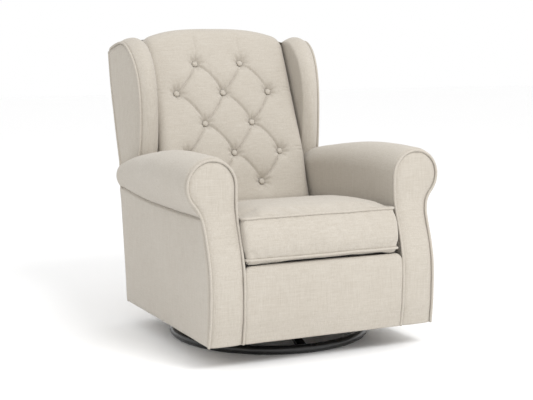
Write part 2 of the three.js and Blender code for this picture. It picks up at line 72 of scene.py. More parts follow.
def make_camera():
    back = Vector((math.sin(CAMERA_AZIMUTH) * math.cos(CAMERA_ELEVATION),
                   -math.cos(CAMERA_AZIMUTH) * math.cos(CAMERA_ELEVATION),
                   math.sin(CAMERA_ELEVATION)))
    data = bpy.data.cameras.new("camera")
    data.sensor_width = SENSOR
    data.lens = FOCAL
    data.clip_end = 60
    camera = bpy.data.objects.new("camera", data)
    bpy.context.collection.objects.link(camera)
    camera.location = LOOK_AT + back * CAMERA_DISTANCE
    camera.rotation_euler = (-back).to_track_quat("-Z", "Y").to_euler()
    bpy.context.scene.camera = camera


def area_light(name, place, size, watts, aim=(0, 0, 0.45)):
    """A round soft light at a place in metres, turned to the point it aims at."""
    data = bpy.data.lights.new(name, "AREA")
    data.shape = "DISK"
    data.size = size
    data.energy = watts
    lamp = bpy.data.objects.new(name, data)
    bpy.context.collection.objects.link(lamp)
    lamp.location = place
    lamp.rotation_euler = (Vector(place) - Vector(aim)).to_track_quat("Z", "Y").to_euler()


def make_studio():
    world = bpy.data.worlds.new("studio")
    bpy.context.scene.world = world
    world.use_nodes = True
    world.node_tree.nodes["Background"].inputs["Color"].default_value = (1, 1, 1, 1)
    world.node_tree.nodes["Background"].inputs["Strength"].default_value = WORLD_STRENGTH
    bpy.context.scene.view_settings.view_transform = "Standard"
    area_light("key", (0.6, -2.9, 3.5), 1.8, KEY_WATTS)

    mesh = bpy.data.meshes.new("floor")
    half = 14.0
    corners = [(-half, -half, 0), (half, -half, 0), (half, half, 0), (-half, half, 0)]
    mesh.from_pydata(corners, [], [(0, 1, 2, 3)])
    floor = bpy.data.objects.new("floor", mesh)
    bpy.context.collection.objects.link(floor)
    material = bpy.data.materials.new("floor")
    material.use_nodes = True
    shader = material.node_tree.nodes["Principled BSDF"]
    shader.inputs["Base Color"].default_value = (0.985, 0.985, 0.985, 1)
    shader.inputs["Roughness"].default_value = 0.75
    mesh.materials.append(material)


# ---- materials -----------------------------------------------------------------------
class Nodes:
    """A short way to add and join shader nodes."""

    def __init__(self, name):
        self.material = bpy.data.materials.new(name)
        self.material.use_nodes = True
        self.tree = self.material.node_tree
        self.shader = self.tree.nodes["Principled BSDF"]
        self.place = self.add("ShaderNodeTexCoord").outputs["Object"]

    def add(self, kind, inputs=None, **settings):
        node = self.tree.nodes.new(kind)
        for key, value in settings.items():
            setattr(node, key, value)
        for key, value in (inputs or {}).items():
            if isinstance(value, bpy.types.NodeSocket):
                self.tree.links.new(value, node.inputs[key])
            else:
                node.inputs[key].default_value = value
        return node

    def noise(self, stretch, detail=2.0, rough=0.5, offset=(0, 0, 0)):
        """Noise with its own frequency, per metre, along each axis."""
        mapping = self.add("ShaderNodeMapping", {"Vector": self.place, "Scale": stretch, "Location": offset})
        return self.add("ShaderNodeTexNoise", {"Vector": mapping.outputs[0], "Scale": 1.0, "Detail": detail,
                                               "Roughness": rough}).outputs["Fac"]

    def math(self, operation, a, b=0.0):
        return self.add("ShaderNodeMath", {0: a, 1: b}, operation=operation).outputs[0]

    def ramp(self, value, low, high, out_low=0.0, out_high=1.0):
        return self.add("ShaderNodeMapRange", {"Value": value, "From Min": low, "From Max": high,
                                               "To Min": out_low, "To Max": out_high}).outputs[0]

    def mix(self, factor, a, b):
        node = self.add("ShaderNodeMix", data_type="RGBA")
        for socket, value in ((0, factor), (6, a), (7, b)):
            if isinstance(value, bpy.types.NodeSocket):
                self.tree.links.new(value, node.inputs[socket])
            else:
                node.inputs[socket].default_value = value
        return node.outputs[2]

    def bump(self, height, strength, distance):
        node = self.add("ShaderNodeBump", {"Height": height, "Strength": strength, "Distance": distance})
        self.tree.links.new(node.outputs[0], self.shader.inputs["Normal"])

    def set(self, **values):
        for key, value in values.items():
            socket = self.shader.inputs[key.replace("_", " ")]
            if isinstance(value, bpy.types.NodeSocket):
                self.tree.links.new(value, socket)
            else:
                socket.default_value = value


def cloth_material(name, light, dark, thread=620.0, slub=33.0, depth=0.0009):
    """Plain weave: fine threads along each axis, longer slubs and a faint broad change of tone."""
    n = Nodes(name)
    fine = [n.noise([thread * (0.05 if k == axis else 1.0) for k in range(3)], 1.0, offset=(axis * 3.1, 0, 0))
            for axis in range(3)]
    threads = n.math("ADD", n.math("ADD", fine[0], fine[1]), fine[2])
    slubs = [n.noise([slub * (0.5 if k == axis else 11.0) for k in range(3)], 2.0, offset=(0, axis * 5.3, 0))
             for axis in (0, 2)]
    slub_tone = n.math("ADD", slubs[0], slubs[1])
    broad = n.noise((3.5, 3.5, 3.5), 3.0)
    tone = n.math("ADD", n.ramp(threads, 1.05, 1.95, 0.0, 0.5), n.ramp(slub_tone, 0.7, 1.3, 0.0, 0.38))
    tone = n.math("ADD", tone, n.ramp(broad, 0.3, 0.7, 0.0, 0.12))
    n.set(Base_Color=n.mix(tone, (*dark, 1), (*light, 1)), Roughness=n.ramp(threads, 1.0, 2.0, 1.0, 0.86))
    n.set(Sheen_Weight=0.22, Sheen_Roughness=0.55, Specular_IOR_Level=0.18)
    n.bump(n.math("ADD", threads, n.math("MULTIPLY", slub_tone, 0.7)), 0.55, depth)
    return n.material


def steel_material(name, color, roughness, metallic, coat=0.0):
    """Powder-coated or plated steel with a fine orange peel and faint scuffs."""
    n = Nodes(name)
    peel = n.noise((420, 420, 420), 2.0)
    scuff = n.noise((35, 35, 90), 5.0, 0.65)
    worn = n.ramp(scuff, 0.56, 0.78, 0.0, 0.35)
    lighter = tuple(min(1.0, c * 2.2 + 0.02) for c in color)
    n.set(Base_Color=n.mix(worn, (*color, 1), (*lighter, 1)))
    n.set(Roughness=n.ramp(scuff, 0.3, 0.75, roughness * 0.85, roughness * 1.35))
    n.set(Metallic=metallic, Coat_Weight=coat, Coat_Roughness=0.25)
    n.bump(peel, 0.25, 0.0002)
    return n.material


def wood_material(name):
    """Plain sawn timber: rings stretched along X, with finer pores."""
    n = Nodes(name)
    grain = n.noise((3.0, 60, 60), 6.0, 0.6)
    pores = n.noise((25, 700, 700), 2.0)
    tone = n.math("ADD", n.ramp(grain, 0.35, 0.65, 0.0, 0.8), n.ramp(pores, 0.4, 0.7, 0.0, 0.2))
    n.set(Base_Color=n.mix(tone, (0.30, 0.17, 0.08, 1), (0.62, 0.43, 0.25, 1)))
    n.set(Roughness=n.ramp(grain, 0.3, 0.7, 0.75, 0.55))
    n.bump(n.math("ADD", grain, pores), 0.3, 0.0006)
    return n.material


# ---- mesh tools ----------------------------------------------------------------------
def grid(points, wrap=False):
    """Quads over an array of points [rows, columns, 3]; wrap joins the last column to the first."""
    rows, cols = points.shape[:2]
    ids = np.arange(rows * cols).reshape(rows, cols)
    if wrap:
        ids = np.concatenate([ids, ids[:, :1]], axis=1)
    quads = np.stack([ids[:-1, :-1], ids[:-1, 1:], ids[1:, 1:], ids[1:, :-1]], axis=-1).reshape(-1, 4)
    return points.reshape(-1, 3), quads.tolist()


def capped(points):
    """A wrapped grid whose first and last rows are closed with one face each."""
    verts, faces = grid(points, wrap=True)
    rows, cols = points.shape[:2]
    faces.append(list(range(cols)))
    faces.append(list(range((rows - 1) * cols, rows * cols)))
    return verts, faces


def tube(path, radius, sides=10, closed=False):
    """A round cord along a path of points, with closed ends."""
    path = np.asarray(path, float)
    if closed:
        ahead = np.roll(path, -1, axis=0) - np.roll(path, 1, axis=0)
    else:
        ahead = np.gradient(path, axis=0)
    ahead /= np.linalg.norm(ahead, axis=1)[:, None]
    rows = []
    normal = np.cross(ahead[0], (0.3, 0.5, 0.81))
    for point, along in zip(path, ahead):
        normal = normal - along * np.dot(normal, along)
        normal /= np.linalg.norm(normal)
        across = np.cross(along, normal)
        angles = np.linspace(0, 2 * np.pi, sides, endpoint=False)
        rows.append(point + radius * (np.cos(angles)[:, None] * normal + np.sin(angles)[:, None] * across))
    rows = np.array(rows)
    if closed:
        rows = np.concatenate([rows, rows[:1]])
        return grid(rows, wrap=True)
    return capped(rows)


def smooth_path(points, step=5.0, closed=False, passes=6):
    """The path resampled at equal steps and rounded at its corners."""
    points = np.asarray(points, float)
    if closed:
        points = np.concatenate([points, points[:1]])
    lengths = np.concatenate([[0], np.cumsum(np.linalg.norm(np.diff(points, axis=0), axis=1))])
    count = max(int(lengths[-1] / step), 4)
    at = np.linspace(0, lengths[-1], count + 1)
    path = np.stack([np.interp(at, lengths, points[:, k]) for k in range(points.shape[1])], axis=1)
    if closed:
        path = path[:-1]
    for _ in range(passes):
        before = np.roll(path, 1, axis=0)
        after = np.roll(path, -1, axis=0)
        rounded = 0.25 * before + 0.5 * path + 0.25 * after
        if not closed:
            rounded[0] = path[0]
            rounded[-1] = path[-1]
        path = rounded
    return path


def build(name, parts, material, body, nodes=(), side=1, level=0):
    """One object from parts of (points in mm, faces), placed, finished and declared."""
    verts = []
    faces = []
    for points, polygons in parts:
        start = len(verts)
        verts.extend(points.tolist() if hasattr(points, "tolist") else points)
        faces.extend([start + i for i in polygon] for polygon in polygons)
    verts = np.array(verts) * MM
    verts[:, 0] *= side
    mesh = bpy.data.meshes.new(name)
    mesh.from_pydata(verts.tolist(), [], faces)
    clean = bmesh.new()
    clean.from_mesh(mesh)
    bmesh.ops.remove_doubles(clean, verts=clean.verts, dist=1e-5)
    bmesh.ops.recalc_face_normals(clean, faces=clean.faces)
    clean.to_mesh(mesh)
    clean.free()
    mesh.polygons.foreach_set("use_smooth", [True] * len(mesh.polygons))
    mesh.materials.append(material)
    piece = bpy.data.objects.new(name, mesh)
    bpy.context.collection.objects.link(piece)
    if level:
        modifier = piece.modifiers.new("finer", "SUBSURF")
        modifier.levels = level
        modifier.render_levels = level
    finish_piece(piece, body, nodes)


def finish_piece(piece, body, nodes=()):
    """Says which body the piece moves with, and hides the CAD nodes it stands for."""
    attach(piece, body)
    if nodes:
        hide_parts(*nodes)


def ripple(points, size, depth, seed):
    """A slow, uneven wave for each point, as cloth over padding has."""
    shift = Vector((seed * 7.3, seed * 3.1, seed * 5.7))
    return np.array([noise.noise(Vector(p) / size + shift) * depth for p in points.reshape(-1, 3)]
                    ).reshape(points.shape[:-1])


def edge_function(points, rounding=24):
    """y as a smooth function of z through an edge of [y, z] points."""
    points = np.array(points, float)
    z = np.arange(points[0, 1] - 80, points[-1, 1] + 80, 2.0)
    slope = (points[1, 0] - points[0, 0]) / (points[1, 1] - points[0, 1])
    y = np.interp(z, points[:, 1], points[:, 0])
    y = np.where(z < points[0, 1], points[0, 0] + slope * (z - points[0, 1]), y)
    kernel = np.hanning(rounding + 2)
    kernel /= kernel.sum()
    padded = np.pad(y, rounding, mode="edge")
    y = np.convolve(padded, kernel, mode="same")[rounding:-rounding]
    return lambda height: np.interp(height, z, y)


# ---- driving shapes, as in the CAD model ---------------------------------------------
BODY_BOTTOM = 68.0
OUTER_U = 371.0
INNER_U = 263.0
FRONT_EDGE = [[-425, 68], [-436, 139], [-438, 220], [-435, 272], [-422, 325], [-405, 371], [-389, 414],
              [-380, 450], [-378, 490], [-378, 640]]
REAR_EDGE = [[267, 68], [283, 273], [297, 356], [319, 438], [346, 515], [388, 630], [418, 727], [437, 792],
             [456, 883], [456, 990]]
front_y = edge_function(FRONT_EDGE)
rear_y = edge_function(REAR_EDGE, 36)
WELT_R = 4.0

ROLL_FRONT = dict(u=335.5, out=80.0, b=80.0)
ROLL_REAR = dict(u=321.0, out=57.0, b=52.0)
ROLL_TAPER_FROM_Y = -230.0
ROLL_TAPER_TO_Y = 330.0
# Height of the roll's top, and of the seam under it, as [y, z].
ROLL_TOP = [[-390, 603], [-300, 606], [-210, 606], [-100, 600], [0, 588], [100, 573], [180, 560], [250, 546],
            [320, 531], [380, 518]]
ARM_SEAM = [[-380, 434], [-150, 430], [50, 430], [200, 437], [320, 447]]


def smooth_table(table, y):
    """Value at y in a table of [y, value], eased over a short distance."""
    table = np.array(table, float)
    shifts = np.linspace(-40, 40, 9)
    return np.mean([np.interp(y + shift, table[:, 0], table[:, 1]) for shift in shifts], axis=0)


def roll_at(y):
    """The arm roll's oval at y: centre u, outer half width, half height and centre z."""
    t = np.clip((y - ROLL_TAPER_FROM_Y) / (ROLL_TAPER_TO_Y - ROLL_TAPER_FROM_Y), 0, 1)
    t = t * t * (3 - 2 * t)
    u, out, b = (ROLL_FRONT[key] + (ROLL_REAR[key] - ROLL_FRONT[key]) * t for key in ("u", "out", "b"))
    return u, out, b, smooth_table(ROLL_TOP, y) - b


# ---- arms ----------------------------------------------------------------------------
ARM_ROUND = 11.0
ARM_START_Y = -366.0
ARM_REACH = 700.0
PANEL_THICK = 12.0
FRONT_ROLL_U = 337.0
FRONT_ROLL_Z = 521.0
FRONT_ROLL_R = 75.0


def arm_ring(y):
    """[u, z] of the arm's outline at y: up the inside, over the roll, down the outer panel."""
    u, out, b, z = roll_at(y)
    seam_z = smooth_table(ARM_SEAM, y)
    inside = [[INNER_U, height] for height in np.linspace(BODY_BOTTOM + 6, z - 4, 26)]
    over_in = [[u + (u - INNER_U) * math.cos(t), z + b * math.sin(t)]
               for t in np.linspace(math.pi, math.pi / 2, 24)]
    over_out = [[u + out * math.cos(t), z + b * math.sin(t)]
                for t in np.linspace(math.pi / 2, 0, 26)[1:]]
    tuck = OUTER_U - 3 - u
    below = [[u + tuck + (out - tuck) * math.sin(h * math.pi / 2) ** 0.8, seam_z + (z - seam_z) * h]
             for h in np.linspace(1, 0, 20)[1:]]
    notch = [[OUTER_U - 9, seam_z - 1.5], [OUTER_U - 9, seam_z - 4], [OUTER_U - 2, seam_z - 7]]
    outside = [[OUTER_U - 0.5 + 2.5 * math.sin(math.pi * k), seam_z - 10 + (BODY_BOTTOM + 18 - seam_z) * k]
               for k in np.linspace(0, 1, 30)]
    under = [[OUTER_U - 4, BODY_BOTTOM + 1], [OUTER_U - 30, BODY_BOTTOM], [INNER_U + 20, BODY_BOTTOM],
             [INNER_U + 3, BODY_BOTTOM + 1]]
    return np.array(inside + over_in + over_out + below + notch + outside + under)


def ring_normals(ring):
    """Outward direction at each point of a closed [u, z] outline."""
    along = np.roll(ring, -1, axis=0) - np.roll(ring, 1, axis=0)
    along /= np.linalg.norm(along, axis=1)[:, None]
    return np.stack([-along[:, 1], along[:, 0]], axis=1)


def make_arm(name, side, cloth):
    """The padded arm as one skin, from its rounded front edge to the outside back."""
    fronts = ARM_ROUND * (1 - np.cos(np.linspace(0, math.pi / 2, 9)))
    others = ARM_ROUND + (ARM_REACH - ARM_ROUND) * np.linspace(0, 1, 73)[1:]
    shares = np.concatenate([fronts / ARM_REACH, others / ARM_REACH])
    rows = []
    for share in shares:
        depth = share * ARM_REACH
        ring = arm_ring(ARM_START_Y + depth)
        inset = 0.0
        if depth < ARM_ROUND:
            inset = ARM_ROUND - math.sqrt(ARM_ROUND ** 2 - (ARM_ROUND - depth) ** 2)
        ring = ring - ring_normals(ring) * inset
        start = front_y(ring[:, 1]) + PANEL_THICK * 0.4
        finish = rear_y(ring[:, 1]) - 5
        rows.append(np.stack([ring[:, 0], start + (finish - start) * share, ring[:, 1]], axis=1))
    # One more row behind the first keeps the front cap out of sight, inside the arm.
    rows.insert(0, rows[0] + [0, 20, 0])
    points = np.array(rows)
    wave = ripple(points, 95, 2.4, 1 if side > 0 else 2)
    fade = np.clip(np.concatenate([[0], shares]) * ARM_REACH / 40, 0, 1)[:, None]
    points[..., 0] += wave * fade * np.clip((points[..., 0] - 280) / 40, 0.1, 1)
    points[..., 2] += wave * fade * 0.6 * np.clip((points[..., 2] - 480) / 40, 0, 1)
    build(f"arm_shell_{name}", [capped(points)], cloth, "chair", [f"arm_{name}"], side)


def keyhole():
    """[u, z] of the arm front's outline, from its inner bottom corner round to the outer one."""
    arc = [[FRONT_ROLL_U + FRONT_ROLL_R * math.cos(t), FRONT_ROLL_Z + FRONT_ROLL_R * math.sin(t)]
           for t in np.linspace(math.pi, -0.86, 40)]
    waist = [[373, 441], [367, 415], [365.5, 390], [365.5, 300], [367, 140], [369.5, BODY_BOTTOM + 1]]
    return np.array([[INNER_U - 0.5, BODY_BOTTOM + 1], [INNER_U - 0.5, 440]] + arc + waist)


def make_arm_front(name, side, cloth):
    """The padded panel on the arm's front, with a welt round it."""
    line = smooth_path(keyhole(), 4.0, passes=10)
    top = line[:, 1].argmax()
    heights = np.concatenate([np.linspace(BODY_BOTTOM + 1, 500, 90), 500 + (line[top, 1] - 500.4) *
                              np.sin(np.linspace(0, math.pi / 2, 30))[1:]])
    inner = np.interp(heights, line[:top + 1, 1], line[:top + 1, 0])
    outer = np.interp(heights, line[top:, 1][::-1], line[top:, 0][::-1])
    across = np.sin(np.linspace(-math.pi / 2, math.pi / 2, 25))
    width = (outer - inner)[:, None] / 2
    u = (inner + outer)[:, None] / 2 + width * across[None, :]
    z = np.repeat(heights[:, None], 25, axis=1)
    gap = np.minimum(u - inner[:, None], outer[:, None] - u)
    gap = np.minimum(gap, (line[top, 1] - z) * 1.5)
    crown = 7.5 * (1 - (1 - np.clip(gap / 34, 0, 1)) ** 2)
    face = np.stack([u, front_y(z) + 6 - crown, z], axis=-1)
    face[..., 1] += ripple(face, 70, 1.2, 3)
    back = face.copy()
    back[..., 1] = front_y(z) + PANEL_THICK
    rim = np.concatenate([face, back[:, ::-1]], axis=1)
    welt = np.stack([line[:, 0], front_y(line[:, 1]) + 1.0, line[:, 1]], axis=1)
    parts = [capped(rim), tube(welt, WELT_R)]
    build(f"arm_front_panel_{name}", parts, cloth, "chair", [f"arm_front_{name}"], side)


# ---- wings ---------------------------------------------------------------------------
# Side view of the wing's seam, as [y, z], from the arm up and back to its rear top corner.
WING_OUTLINE = [[262, 470], [250, 520], [238, 574], [233, 620], [231, 680], [233, 735], [241, 785],
                [256, 828], [278, 864], [306, 892], [338, 911], [368, 916], [404, 908], [432, 897],
                [453, 884]]
WING_SWELL = 18.0
WELT_GROOVE = 3.0
GATHER_DEPTH = 1.1
WING_INNER_U = 266.0


def wing_outer_u(y, z):
    """The outer face toes in: it meets the outside back's edge behind and is narrower in front."""
    return 325 + (back_half_width(z) - 325) * (y - 232) / (rear_y(z) - 232)


def back_half_width(z):
    """Half the width of the outside back at height z."""
    return np.interp(z, [68, 438, 515, 883, 940], [OUTER_U - 1, OUTER_U - 1, 362, 359, 345])


def make_wing(name, side, cloth):
    """A flat outer panel, a full padded rim and a welt along the seam between them."""
    front = smooth_path(WING_OUTLINE, 5.0, passes=9)
    heights = np.linspace(883, 470, 50)[1:]
    rear = np.stack([rear_y(heights) - 3, heights], axis=1)
    whole = np.concatenate([front, rear])
    count = len(front)
    along = np.gradient(whole, axis=0)
    along /= np.linalg.norm(along, axis=1)[:, None]
    normals = np.stack([-along[:, 1], along[:, 0]], axis=1)
    steps = np.arange(len(whole))
    edge = np.clip((count - 2 - steps) / 8, 0, 1)
    gathers = np.sin(steps * 1.45) * np.clip((whole[:, 1] - 800) / 70, 0, 1) * edge
    layers = np.concatenate([[0, 0.015, 0.035, 0.06], np.linspace(0.1, 1, 24)])
    rows = []
    for depth in layers:
        bulge = math.sin(math.pi * min(1.0, max(0.0, depth - 0.03) + 0.02)) ** 0.75
        swell = (WING_SWELL * bulge - WELT_GROOVE * (depth < 0.05)) * edge
        swell = swell + gathers * GATHER_DEPTH * math.exp(-((depth - 0.2) / 0.16) ** 2)
        line = whole + normals * swell[:, None]
        u = wing_outer_u(line[:, 0], line[:, 1]) * (1 - depth) + (WING_INNER_U - 0.8) * depth
        rows.append(np.column_stack([u, line]))
    rim = np.array(rows)
    rim[..., 1] += ripple(rim, 60, 1.6, 4 + side) * np.sin(np.pi * layers)[:, None]
    parts = [grid(rim, wrap=True)]
    centre = whole.mean(axis=0)
    for layer, outward in ((rim[0], True), (rim[-1], False)):
        discs = []
        for k in np.linspace(1, 0.02, 16):
            y = centre[0] + (layer[:, 1] - centre[0]) * k
            z = centre[1] + (layer[:, 2] - centre[1]) * k
            fuller = 1 - k ** 4
            u = wing_outer_u(y, z) + 3.0 * fuller if outward else layer[:, 0] - fuller
            discs.append(np.stack([u, y, z], axis=1))
        parts.append(grid(np.array(discs), wrap=True))
        parts.append((discs[-1], [list(range(len(whole)))]))
    seam = smooth_path(WING_OUTLINE, 5.0, passes=9)
    turn = np.gradient(seam, axis=0)
    turn /= np.linalg.norm(turn, axis=1)[:, None]
    seam = seam + np.stack([-turn[:, 1], turn[:, 0]], axis=1) * 1.5
    welt = np.stack([wing_outer_u(seam[:, 0], seam[:, 1]) + 1.2, seam[:, 0], seam[:, 1]], axis=1)
    # The welt's end sinks into the wing's rear corner.
    sink = np.array([0, 0.7, 2, 4, 6.5, 9])
    welt[-6:] += sink[:, None] * np.array([-0.8, -0.53, -0.85])
    parts.append(tube(welt, WELT_R))
    build(f"wing_pad_{name}", parts, cloth, "chair", [f"wing_{name}"], side)


# ---- tufted back ---------------------------------------------------------------------
BACK_HALF = 260.5
# Side view of the inside back at its fullest, as [y, z].
BACK_FACE = [[142, 288], [135, 330], [139, 405], [157, 450], [193, 548], [342, 860], [390, 960]]
TILT = math.radians(25.5)
BUTTON_SINK = 21.0
# Height of each row of buttons, and their x.
BUTTON_ROWS = [[842, [-83, 83]], [745, [-169, 0, 169]], [646, [-86, 86]], [548, [-169, 0, 169]],
               [450, [-88, 84]]]
CREST_Z = 961.0
CREST_DROP = 38.0
CREST_ROUND = 46.0
CREST_SHARE = 0.85
CREST_TURN = math.radians(150)
CREST_TOP_TURN = math.radians(65)
SIDE_ROUND = 35.0
CREASE_SHARE = 0.2
CREASE_WIDTH = 3.2

face_line = smooth_path(BACK_FACE, 2.0, passes=60)
face_length = np.concatenate([[0], np.cumsum(np.linalg.norm(np.diff(face_line, axis=0), axis=1))])
face_along = np.gradient(face_line, axis=0)
face_along /= np.linalg.norm(face_along, axis=1)[:, None]


def up_at(z):
    """Distance up the inside back at height z."""
    return np.interp(z, face_line[:, 1], face_length)


def face_at(up):
    """[y, z] and outward normal of the inside back, by distance up it."""
    place = np.stack([np.interp(up, face_length, face_line[:, k]) for k in range(2)], axis=-1)
    along = np.stack([np.interp(up, face_length, face_along[:, k]) for k in range(2)], axis=-1)
    return place, np.stack([-along[..., 1], along[..., 0]], axis=-1)


def button_places():
    """[x, distance up] of each button, row by row."""
    rise = BUTTON_SINK * math.tan(TILT)
    return [[(x, float(up_at(z)) + rise) for x in xs] for z, xs in BUTTON_ROWS]


def bent(start, end, bow_x, bow_up):
    """A curve between two buttons that leaves the first one sideways or downwards."""
    (ax, ay), (bx, by) = start, end
    t = np.linspace(0, 1, 11)
    mx = ax + (bx - ax) * bow_x
    my = ay + (by - ay) * bow_up
    return np.stack([(1 - t) ** 2 * ax + 2 * t * (1 - t) * mx + t ** 2 * bx,
                     (1 - t) ** 2 * ay + 2 * t * (1 - t) * my + t ** 2 * by], axis=1)


def pleats():
    """Folds of the inside back as (path of [x, distance up], depth, width)."""
    rows = button_places()
    folds = []
    for upper, lower in zip(rows, rows[1:]):
        for start in upper:
            for end in lower:
                if 40 < abs(end[0] - start[0]) < 130:
                    to_right = end[0] > start[0]
                    path = bent(start, end, 0.63, 0.37) if to_right else bent(start, end, 0.4, 0.6)
                    folds.append((path, 14.5 if to_right else 13.0, 42.0 if to_right else 32.0))
    for x, up in rows[0]:
        folds.append((np.array([[x, up], [x * 0.96, up + 60], [x * 0.97, up + 170]]), 6.0, 42.0))
    for row in rows:
        if len(row) == 3:
            for x, up in (row[0], row[-1]):
                for lift in (-5, 7):
                    folds.append((np.array([[x, up], [x * 1.25, up + lift], [x * 1.6, up + lift]]), 3.2, 9.0))
    return folds


def tuft_depth(x, up):
    """How far the cover is below its fullest level, at x and distance up the back."""
    depth = np.zeros_like(x)
    for path, deep, wide in pleats():
        nearest = np.full(x.shape, 1e9)
        share = np.zeros(x.shape)
        pieces = len(path) - 1
        for k in range(pieces):
            (ax, ay), (bx, by) = path[k], path[k + 1]
            dx, dy = bx - ax, by - ay
            t = np.clip(((x - ax) * dx + (up - ay) * dy) / (dx * dx + dy * dy), 0, 1)
            distance = np.hypot(x - ax - t * dx, up - ay - t * dy)
            closer = distance < nearest
            nearest = np.where(closer, distance, nearest)
            share = np.where(closer, (k + t) / pieces, share)
        near = 1 - np.clip(nearest / wide, 0, 1)
        valley = 1 - np.sqrt(1 - near ** 2)
        fullness = 0.82 + 0.5 * np.abs(2 * share - 1) ** 2
        crease = deep * CREASE_SHARE * np.exp(-(nearest / CREASE_WIDTH) ** 2)
        depth = np.maximum(depth, deep * fullness * (0.7 * valley + 0.3 * near ** 1.5) + crease)
    for index, (bx, by) in enumerate(place for row in button_places() for place in row):
        distance = np.hypot(x - bx, up - by)
        angle = np.arctan2(up - by, x - bx)
        dimple = (BUTTON_SINK + 4.0) * np.exp(-(np.maximum(distance - 9, 0) / 17.5) ** 1.1)
        folds = 2.0 * np.exp(-((distance - 20) / 11) ** 2) * np.cos(8 * angle + index)
        depth = np.where(distance < 80, np.cbrt(depth ** 3 + dimple ** 3) + folds, depth)
    return depth


def crest_z(x):
    """Height of the arched top at x."""
    return CREST_Z - CREST_DROP * (np.abs(x) / BACK_HALF) ** 3


def back_sections():
    """[x, depth] across the back: flat, then round at each side and straight back."""
    half = BACK_HALF - SIDE_ROUND
    flat = np.linspace(-half, half, 230)
    turn = np.linspace(0, math.pi / 2, 12)[1:]
    right = [[half + SIDE_ROUND * math.sin(t), SIDE_ROUND * (1 - math.cos(t))] for t in turn]
    right += [[BACK_HALF, SIDE_ROUND + more] for more in (20, 45, 75, 105)]
    right = np.array(right)
    middle = np.stack([flat, np.zeros(len(flat))], axis=1)
    return np.concatenate([right[::-1] * [-1, 1], middle, right])


def make_tufted_back(cloth):
    """The inside back: one sheet up its face, over the crest and round its sides, closed behind."""
    columns = []
    for x, depth in back_sections():
        # The crest's round starts where it touches the sloping face.
        last = float(up_at(crest_z(x) - 2 - CREST_ROUND * (1 - math.sin(TILT))))
        up = np.linspace(8, last, 280)
        place, normal = face_at(up)
        # The sides get shallower towards the crest, and stay in front of the outside back.
        shallow = np.interp(up, [last - 160, last], [200, CREST_SHARE * CREST_ROUND])
        shallow = np.minimum(shallow, (rear_y(place[:, 1]) - 24 - place[:, 0]) / 1.08)
        turn = np.linspace(0, CREST_TURN, 34)[1:]
        # Past its top the crest fills out to the outside back.
        fuller = 1 - 0.75 * np.clip((turn - CREST_TOP_TURN) / (CREST_TURN - CREST_TOP_TURN), 0, 1)
        depths = np.concatenate([np.minimum(depth, shallow), min(depth, CREST_SHARE * CREST_ROUND) * fuller])
        centre = place[-1] - normal[-1] * CREST_ROUND
        angle = math.atan2(normal[-1][1], normal[-1][0]) - turn
        around = np.stack([np.cos(angle), np.sin(angle)], axis=1)
        place = np.concatenate([place, centre + CREST_ROUND * around])
        normal = np.concatenate([normal, around])
        up = np.concatenate([up, last + CREST_ROUND * turn])
        columns.append((np.full(len(up), x), depths, up, place, normal))
    x, depth, up, place, normal = (np.array(part) for part in zip(*columns))
    sink = tuft_depth(x, up) * np.clip((up_at(975) - up) / 70, 0, 1) * np.clip(1 - depth / 50, 0, 1)
    sides = np.clip((up_at(540) - up) / 90, 0, 1) * (np.abs(x) / BACK_HALF) ** 8
    place = place - normal * (sink + depth + 12 * sides - 2)[..., None]
    surface = np.concatenate([x[..., None], place], axis=-1)
    surface[..., 1] += ripple(surface, 80, 1.8, 5)
    verts, faces = grid(surface)
    rows, cols = surface.shape[:2]
    border = list(range(cols)) + [cols * k - 1 for k in range(2, rows + 1)]
    border += list(range(cols * rows - 2, cols * (rows - 1) - 1, -1))
    border += [cols * k for k in range(rows - 2, 0, -1)]
    faces.append(border)
    build("tufted_back_pad", [(verts, faces)], cloth, "chair", ["tufted_back"])


def make_buttons(cloth):
    """Covered buttons at the bottom of the dimples, turned from [radius, height] points."""
    profile = [[0.2, 7.2], [4, 6.9], [7.2, 5.8], [9.4, 3.9], [10.4, 1.6], [10.2, -0.6], [9, -2], [0.2, -2]]
    number = 0
    for row in button_places():
        for x, up in row:
            number += 1
            (y, z), (out_y, out_z) = face_at(up)
            outward = np.array([0, out_y, out_z])
            over = np.array([0, -out_z, out_y])
            centre = np.array([x, y, z]) - outward * (BUTTON_SINK - 0.5)
            rings = []
            for r, height in profile:
                angles = np.linspace(0, 2 * np.pi, 32, endpoint=False)
                wavy = r * (1 + 0.012 * np.sin(9 * angles + number))
                sideways = np.cos(angles)[:, None] * np.array([1.0, 0, 0]) + np.sin(angles)[:, None] * over
                rings.append(centre + outward * height + wavy[:, None] * sideways)
            build(f"covered_button_{number}", [capped(np.array(rings))], cloth, "chair",
                  [f"button_{number}"], level=1)


# ---- outside back --------------------------------------------------------------------
BACK_PANEL_THICK = 14.0
BACK_PANEL_CROWN = 6.0
FOLD_REACH = 55.0


def back_top(x):
    """Height of the outside back's top edge at x."""
    return 938 - 6 * (np.abs(x) / 140) ** 1.6 - 30 * np.clip((np.abs(x) - 262) / 97, 0, 1) ** 1.3


